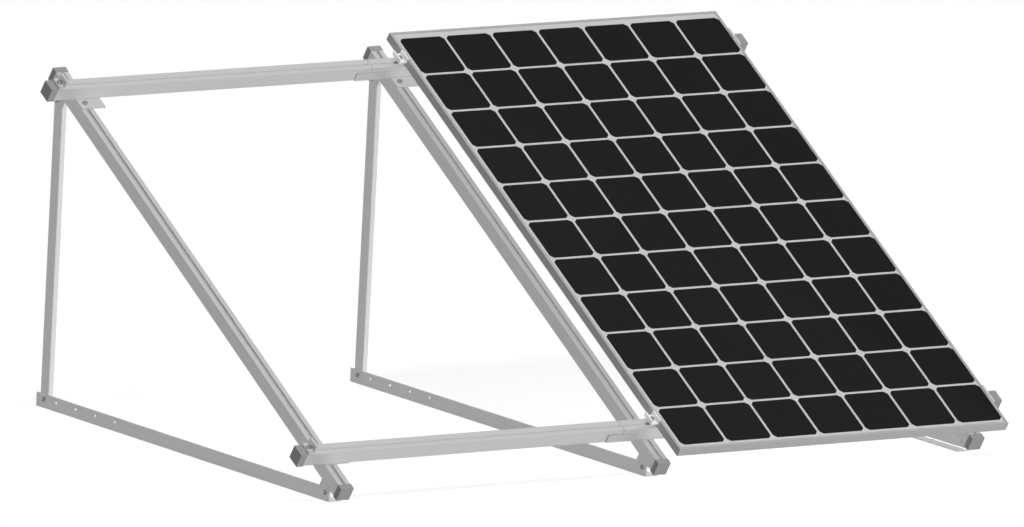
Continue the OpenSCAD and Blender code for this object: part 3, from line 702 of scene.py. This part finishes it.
class PanelSettings(bpy.types.PropertyGroup):
    """Finish of the panel."""

    columns: bpy.props.IntProperty(name="Columns", description="Columns of cells", default=7, min=1)
    rows: bpy.props.IntProperty(name="Rows", description="Rows of cells", default=11, min=1)
    cell_gap: bpy.props.FloatProperty(
        name="Cell gap", description="Gap between neighbouring cells", default=0.008, unit="LENGTH")
    cell_cut: bpy.props.FloatProperty(
        name="Cell corner", description="Cut corner of the cells", default=0.0105, unit="LENGTH")
    cell_shift: bpy.props.FloatVectorProperty(
        name="Cell shift", description="Offset of the cells, along the rails and up the slope", size=2,
        default=(0.0075, -0.0007), unit="LENGTH")
    glass_air: bpy.props.FloatProperty(
        name="Glass gap", description="Gap between the glass and the cells", default=0.0002, unit="LENGTH")
    cell_colour: bpy.props.FloatVectorProperty(
        name="Cell colour", description="Colour of the cells",
        subtype="COLOR", default=(0.0073, 0.0073, 0.0073), min=0, max=1)
    sheet_colour: bpy.props.FloatVectorProperty(
        name="Backsheet colour", description="Colour between the cells and behind them", subtype="COLOR",
        default=(0.7, 0.7, 0.7), min=0, max=1)
    glass_alpha: bpy.props.FloatProperty(
        name="Glass alpha", description="Share of the glass's own surface that shows",
        default=0.14, min=0, max=1)
    # Painted reflection: strength of the pale colour that stands in for the glass's reflection
    painted_glass_reflection: bpy.props.FloatProperty(
        name="Glass veil", description="Brightness of the glass's reflection at flat angles",
        default=0.85, min=0, max=1)
    box_colour: bpy.props.FloatVectorProperty(
        name="Junction box colour", description="Colour of the junction box", subtype="COLOR",
        default=(0.03, 0.03, 0.032), min=0, max=1)


class StageSettings(bpy.types.PropertyGroup):
    """Camera, lamps and floor."""

    azimuth: bpy.props.FloatProperty(
        name="Azimuth", description="Direction of the camera, 0 in front",
        default=math.radians(-34.91485), unit="ROTATION")
    elevation: bpy.props.FloatProperty(
        name="Elevation", description="Height of the camera over the horizon", default=math.radians(10.3627),
        unit="ROTATION")
    roll: bpy.props.FloatProperty(
        name="Roll", description="Turn of the picture", default=math.radians(2.93549), unit="ROTATION")
    distance: bpy.props.FloatProperty(
        name="Distance", description="From the camera to the mount's middle", default=68.0316, unit="LENGTH")
    lens: bpy.props.FloatProperty(name="Lens", description="Focal length in millimetres", default=850.0)
    aim_right: bpy.props.FloatProperty(
        name="Aim right", description="Aim beside the mount's middle", default=-0.03068, unit="LENGTH")
    aim_up: bpy.props.FloatProperty(
        name="Aim up", description="Aim above the mount's middle", default=-0.02591, unit="LENGTH")
    floor_radius: bpy.props.FloatProperty(
        name="Floor radius", description="Radius of the floor", default=60.0, unit="LENGTH")
    floor_tone: bpy.props.FloatProperty(
        name="Floor tone", description="Albedo of the floor where it is seen", default=0.7, min=0, max=1)
    floor_bounce: bpy.props.FloatProperty(
        name="Floor bounce", description="Albedo of the floor where it lights the mount",
        default=0.1, min=0, max=1)
    floor_lift: bpy.props.FloatProperty(
        name="Floor lift", description="Light added to the floor where it is seen",
        default=0.285, min=0, max=1)
    ambient: bpy.props.FloatProperty(
        name="Ambient", description="Level of the light from all round", default=0.065)
    key: bpy.props.FloatProperty(
        name="Key", description="Level of the front lamp, at which 1 renders a colour as written",
        default=1.255)
    key_from: bpy.props.FloatVectorProperty(
        name="Key direction", description="Direction that the front lamp shines from",
        default=(-0.06, -0.98, 0.192))
    upper: bpy.props.FloatProperty(
        name="Upper", description="Level of the lamp above, which casts the shadow", default=0.18)
    sides: bpy.props.FloatProperty(
        name="Sides", description="Level of the lamps on both sides", default=0.135)
    rear: bpy.props.FloatProperty(name="Rear", description="Level of the low lamp behind", default=0.42)
    rear_upper: bpy.props.FloatProperty(
        name="Rear upper", description="Level of the high lamp behind", default=1.0)
    softness: bpy.props.FloatProperty(
        name="Softness", description="Angle that each lamp fills", default=math.radians(16), unit="ROTATION")


# Operators


class TILTMOUNT_OT_stock(bpy.types.Operator):
    """Finish the extrusions, angles, brackets and plates"""

    bl_idname = "tiltmount.stock"
    bl_label = "Aluminium stock"

    def execute(self, context):
        metal = context.scene.tilt_metal
        colour = tuple(metal.stock_colour)
        rails = aluminium("rail_extrusion", colour, ALONG_RAILS, metal)
        dress(rails, *(f"{end}_rail_{side}" for end in ENDS for side in ("left", "right")))
        beams = aluminium("beam_extrusion", shaded(colour, 0.97), ALONG_SLOPE, metal)
        dress(beams, *(f"{side}_slope_beam" for side in SIDES))
        pale = shaded(colour, 1.04)
        angles = aluminium("base_angle_stock", pale, ALONG_FLOOR, metal)
        dress(angles, *(f"{side}_base_angle" for side in SIDES))
        posts = aluminium("post_stock", pale, UPRIGHT, metal)
        dress(posts, *(f"{side}_rear_post" for side in SIDES))
        brackets = aluminium("bracket_stock", colour, ALONG_SLOPE, metal)
        dress(brackets, *(f"{side}_{end}_bracket" for side in SIDES for end in ("foot", "top")))
        plates = aluminium("plate_stock", colour, ALONG_RAILS, metal)
        dress(plates, *(f"{end}_{side}_rail_plate" for end in ENDS for side in SIDES))
        return {"FINISHED"}


class TILTMOUNT_OT_clamps(bpy.types.Operator):
    """Finish the clamps and splice plates"""

    bl_idname = "tiltmount.clamps"
    bl_label = "Clamps and splices"

    def execute(self, context):
        metal = context.scene.tilt_metal
        stock, clamp = tuple(metal.stock_colour), tuple(metal.clamp_highlight_colour)
        dress(aluminium("end_clamp_extrusion", stock, ALONG_SLOPE, metal),
              *(f"{end}_{side}_end_clamp" for end in ENDS for side in ("left", "right")))
        # Painted highlight: a lighter copy of the clamp aluminium stands in for the highlights on the mid
        # clamps' lips; the smoother finish is real
        highlit = aluminium("mid_clamp_extrusion", clamp, ALONG_SLOPE, metal, roughness=0.34)
        dress(highlit, *(f"{end}_mid_clamp" for end in ENDS))
        splices = aluminium("splice_stock", shaded(stock, 0.92), ALONG_RAILS, metal)
        dress(splices, *(f"{end}_splice_plate" for end in ENDS))
        return {"FINISHED"}


class TILTMOUNT_OT_caps(bpy.types.Operator):
    """Finish the plastic end caps"""

    bl_idname = "tiltmount.caps"
    bl_label = "End caps"

    def execute(self, context):
        colour = tuple(context.scene.tilt_fasteners.cap_colour)
        plastic = moulded_plastic("cap_moulding", colour, 0.5, THIN_EASE, context.scene.tilt_metal)
        dress(plastic, *(f"{side}_beam_{end}_cap" for side in SIDES for end in ("foot", "top")))
        dress(plastic, *(f"{end}_rail_{side}_cap" for end in ENDS for side in ("left", "right")))
        return {"FINISHED"}


class TILTMOUNT_OT_fasteners(bpy.types.Operator):
    """Make the bolts and nuts with their threads and bevelled heads"""

    bl_idname = "tiltmount.fasteners"
    bl_label = "Bolts and nuts"

    def execute(self, context):
        settings = context.scene.tilt_fasteners
        colour, tint = tuple(settings.zinc_colour), tuple(settings.zinc_tint)
        zinc = plated_steel("zinc_plating", colour, tint, context.scene.tilt_metal)
        dress(zinc, "slot_nuts", "clamp_spacers")
        radius = settings.bolt_d / 2
        # Node, axis, shank radius, thread pitch and length of the thread
        rows = (
            ("hinge_bolts", ACROSS, radius, settings.pitch, 0.014),
            ("plate_bolts", OUT, radius, settings.pitch, 0.003),
            ("bracket_bolts", OUT, radius, settings.pitch, 0.003),
            ("clamp_bolts", OUT, radius, settings.pitch, 0.022),
            ("splice_bolts", UP_SLOPE, settings.splice_d / 2, settings.splice_pitch, 0.003),
        )
        for node, axis, shank_r, pitch, thread_len in rows:
            bolts = [Fastener(points, axis, shank_r) for points in separate_solids(node)]
            parts = [bolt_solid(bolt, shank_r, pitch, thread_len) for bolt in bolts]
            make_piece(f"{node}_threaded", parts, zinc, (node,))
        nuts = [nut_solid(Fastener(p, ACROSS, radius), radius) for p in separate_solids("hinge_nuts")]
        make_piece("hinge_nuts_bevelled", nuts, zinc, ("hinge_nuts",))
        return {"FINISHED"}


class TILTMOUNT_OT_panel(bpy.types.Operator):
    """Finish the panel's frame, glass, cells and backsheet"""

    bl_idname = "tiltmount.panel"
    bl_label = "Panel"

    def execute(self, context):
        metal, panel = context.scene.tilt_metal, context.scene.tilt_panel
        colour = tuple(metal.frame_colour)
        finish = {"roughness": FRAME_ROUGHNESS, "metallic": metal.frame_metallic,
                  "specular": MATTE_SPECULAR, "ease": THIN_EASE}
        long_bars = aluminium("frame_long_bar", colour, ALONG_SLOPE, metal, **finish)
        short_bars = aluminium("frame_short_bar", colour, ALONG_RAILS, metal, **finish)
        dress(long_bars, "panel_frame_left", "panel_frame_right")
        dress(short_bars, "panel_frame_lower", "panel_frame_upper")
        low, high = slope_box("panel_glass")
        sheet = rounded_box(low + (0, 0, panel.glass_air), high, GLASS_RADIUS, GLASS_EASE)
        glass = glass_sheet("front_glass", panel)
        make_piece("front_glass_sheet", [from_slope(sheet)], glass, ("panel_glass",))
        count = np.array([panel.columns, panel.rows])
        step = (CELLS_HIGH[:2] - CELLS_LOW[:2] + panel.cell_gap) / count
        low = CELLS_LOW[:2] - panel.cell_gap / 2 + np.array(panel.cell_shift)
        plates = cut_plates(low, step, count, panel.cell_gap, panel.cell_cut, CELLS_LOW[2], CELLS_HIGH[2])
        silicon = cell_silicon("cell_silicon", low, step, panel)
        make_piece("silicon_cells", [from_slope(plates)], silicon, ("solar_cells",))
        dress(matte_sheet("backsheet_film", tuple(panel.sheet_colour)), "panel_backsheet")
        return {"FINISHED"}


class TILTMOUNT_OT_junction_box(bpy.types.Operator):
    """Make the junction box with its lid and cable glands"""

    bl_idname = "tiltmount.junction_box"
    bl_label = "Junction box"

    def execute(self, context):
        low, high = slope_box("panel_junction_box")
        glands = np.concatenate(separate_solids("panel_junction_box")) @ TO_SLOPE.T
        box_face = np.sort(np.unique(glands[:, 1].round(4)))
        front = box_face[box_face > low[1] + GLAND_REACH][0]
        body_low = np.array([low[0], front, low[2] + LID_STEP])
        parts = [from_slope(rounded_box(body_low, high, BOX_RADIUS, BODY_EASE))]
        lid_low = np.array([low[0] + LID_INSET, front + LID_INSET, low[2]])
        lid_high = np.array([high[0] - LID_INSET, high[1] - LID_INSET, low[2] + LID_DEPTH])
        parts.append(from_slope(rounded_box(lid_low, lid_high, BOX_RADIUS, LID_EASE)))
        gland_x = self.gland_places(glands, front)
        level = (body_low[2] + high[2]) / 2 - GLAND_DROP
        for x in gland_x:
            parts.append(from_slope(self.gland((x, front, level), front - low[1])))
        colour = tuple(context.scene.tilt_panel.box_colour)
        black = moulded_plastic("box_moulding", colour, 0.45, BOX_EASE, context.scene.tilt_metal)
        make_piece("junction_box_with_lid", parts, black, ("panel_junction_box",))
        return {"FINISHED"}

    @staticmethod
    def gland_places(points, front):
        """Middles, along the rails, of the two groups of corners that stand out in front of the box."""
        x = np.sort(points[points[:, 1] < front - 0.001][:, 0])
        split = np.diff(x).argmax() + 1
        return (x[:split].min() + x[:split].max()) / 2, (x[split:].min() + x[split:].max()) / 2

    @staticmethod
    def gland(centre, length, columns=36):
        """Cable gland that points down the slope: a collar, a hexagon and a domed end with a dimple."""
        turn = np.arange(columns) * 2 * math.pi / columns
        hexagon = hex_reach(turn, GLAND_FLATS)
        # Share of the length and radius of each ring, with None for the hexagon
        profile = [(0.0, 0.0042), (0.15, 0.0042), (0.15, None), (0.5, None), (0.5, 0.0037), (0.8, 0.0036),
                   (0.95, 0.003), (1.0, 0.0022), (0.9, 0.0016)]
        reach = np.array([hexagon if r is None else np.full(columns, r) for _, r in profile])
        along = np.array([share * length for share, _ in profile])
        rows = ring_points(reach, along, turn)
        turned = np.stack([rows[..., 0], -rows[..., 2], rows[..., 1]], -1) + np.array(centre)
        return tube(turned)


class TILTMOUNT_OT_stage(bpy.types.Operator):
    """Lay the floor, set the lamps and place the camera"""

    bl_idname = "tiltmount.stage"
    bl_label = "Studio"

    def execute(self, context):
        settings = context.scene.tilt_stage
        self.lay_floor(context, settings)
        self.light(context, settings)
        self.place_camera(context, settings)
        context.scene.view_settings.view_transform = "Standard"
        return {"FINISHED"}

    @staticmethod
    def lay_floor(context, settings):
        """Disc at the mount's lowest level: it keeps the mount's shadow, and is lit where it is seen."""
        turn = np.linspace(0, 2 * math.pi, 96, endpoint=False)
        ring = np.stack([np.cos(turn), np.sin(turn), np.zeros_like(turn)], -1) * settings.floor_radius
        mesh = bpy.data.meshes.new("studio_floor")
        ring[:, 2] = CAD_LOW.z - FLOOR_GAP
        mesh.from_pydata(ring.tolist(), [], [list(range(len(turn)))])
        material = bpy.data.materials.new("studio_floor")
        material.use_nodes = True
        tree = material.node_tree
        tree.nodes.clear()
        seen = TILTMOUNT_OT_stage.seen_rays(tree)
        albedo = add_range(tree, seen, settings.floor_bounce, settings.floor_tone)
        lift = add_math(tree, "MULTIPLY", seen, settings.floor_lift)
        matte = add_node(tree, "BsdfDiffuse", {"Color": albedo})
        glow = add_node(tree, "Emission", {"Strength": lift})
        both = add_node(tree, "AddShader", {0: matte.outputs[0], 1: glow.outputs[0]})
        add_node(tree, "OutputMaterial", {"Surface": both.outputs[0]})
        mesh.materials.append(material)
        floor = bpy.data.objects.new("studio_floor", mesh)
        context.scene.collection.objects.link(floor)

    @staticmethod
    def seen_rays(tree):
        """1 for camera, glossy and transmitted rays, which show the background, and 0 for the rest."""
        path = add_node(tree, "LightPath")
        glossy = add_math(tree, "MAXIMUM", path.outputs["Is Camera Ray"], path.outputs["Is Glossy Ray"])
        return add_math(tree, "MAXIMUM", glossy, path.outputs["Is Transmission Ray"])

    @staticmethod
    def light(context, settings):
        """Faint light from all round, and soft lamps of which only the upper one casts shadows."""
        world = bpy.data.worlds.new("studio")
        context.scene.world = world
        world.use_nodes = True
        tree = world.node_tree
        tree.nodes.clear()
        level = add_range(tree, TILTMOUNT_OT_stage.seen_rays(tree), settings.ambient, 1.0)
        sky = add_node(tree, "Background", {"Color": (1.0, 1.0, 1.0, 1.0), "Strength": level})
        add_node(tree, "OutputWorld", {"Surface": sky.outputs[0]})
        lamps = (
            ("front", settings.key_from, settings.key),
            ("upper", (0.0, -0.2, 1.0), settings.upper),
            ("left", (-1.0, 0.0, 0.1), settings.sides),
            ("right", (1.0, 0.0, 0.1), settings.sides),
            ("rear", (0.0, 1.0, -0.25), settings.rear),
            ("rear_upper", (0.0, 1.0, 0.6), settings.rear_upper),
        )
        for name, direction, strength in lamps:
            data = bpy.data.lights.new(name, "SUN")
            data.energy = strength * math.pi
            data.angle = settings.softness
            data.use_shadow = name == "upper"
            lamp = bpy.data.objects.new(name, data)
            lamp.rotation_mode = "QUATERNION"
            lamp.rotation_quaternion = Vector(direction).to_track_quat("Z", "Y")
            context.scene.collection.objects.link(lamp)

    @staticmethod
    def place_camera(context, settings):
        """Long lens: back is built from azimuth and elevation, then the picture is rolled about it."""
        data = bpy.data.cameras.new("camera")
        data.lens = settings.lens
        data.clip_start = CLIP_START
        data.clip_end = CLIP_END
        a, e, r = settings.azimuth, settings.elevation, settings.roll
        back = Vector((math.sin(a) * math.cos(e), -math.cos(a) * math.cos(e), math.sin(e)))
        right = Vector((math.cos(a), math.sin(a), 0.0))
        up = back.cross(right)
        right = right * math.cos(r) + up * math.sin(r)
        up = back.cross(right)
        middle = (CAD_LOW + CAD_HIGH) / 2
        aim = middle + right * settings.aim_right + up * settings.aim_up
        camera = bpy.data.objects.new("camera", data)
        turn = Matrix((right, up, back)).transposed().to_4x4()
        camera.matrix_world = Matrix.Translation(aim + back * settings.distance) @ turn
        context.scene.collection.objects.link(camera)
        context.scene.camera = camera


class TILTMOUNT_PT_panel(bpy.types.Panel):
    """Lists the steps that dress the mount"""

    bl_idname = "TILTMOUNT_PT_panel"
    bl_label = "Tilt Mount"
    bl_space_type = "VIEW_3D"
    bl_region_type = "UI"
    bl_category = "Tilt Mount"

    def draw(self, context):
        for step in STEPS:
            self.layout.operator(step.bl_idname)


STEPS = (
    TILTMOUNT_OT_stage,
    TILTMOUNT_OT_stock,
    TILTMOUNT_OT_clamps,
    TILTMOUNT_OT_caps,
    TILTMOUNT_OT_fasteners,
    TILTMOUNT_OT_panel,
    TILTMOUNT_OT_junction_box,
)
SETTINGS = {
    "tilt_metal": MetalSettings,
    "tilt_fasteners": FastenerSettings,
    "tilt_panel": PanelSettings,
    "tilt_stage": StageSettings,
}


def register():
    for group in SETTINGS.values():
        bpy.utils.register_class(group)
    for step in STEPS:
        bpy.utils.register_class(step)
    bpy.utils.register_class(TILTMOUNT_PT_panel)
    for name, group in SETTINGS.items():
        setattr(bpy.types.Scene, name, bpy.props.PointerProperty(type=group))


def unregister():
    for name in SETTINGS:
        delattr(bpy.types.Scene, name)
    bpy.utils.unregister_class(TILTMOUNT_PT_panel)
    for step in reversed(STEPS):
        bpy.utils.unregister_class(step)
    for group in reversed(list(SETTINGS.values())):
        bpy.utils.unregister_class(group)


def main():
    """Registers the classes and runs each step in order."""
    register()
    bpy.ops.tiltmount.stage()
    bpy.ops.tiltmount.stock()
    bpy.ops.tiltmount.clamps()
    bpy.ops.tiltmount.caps()
    bpy.ops.tiltmount.fasteners()
    bpy.ops.tiltmount.panel()
    bpy.ops.tiltmount.junction_box()


if __name__ == "__main__":
    main()
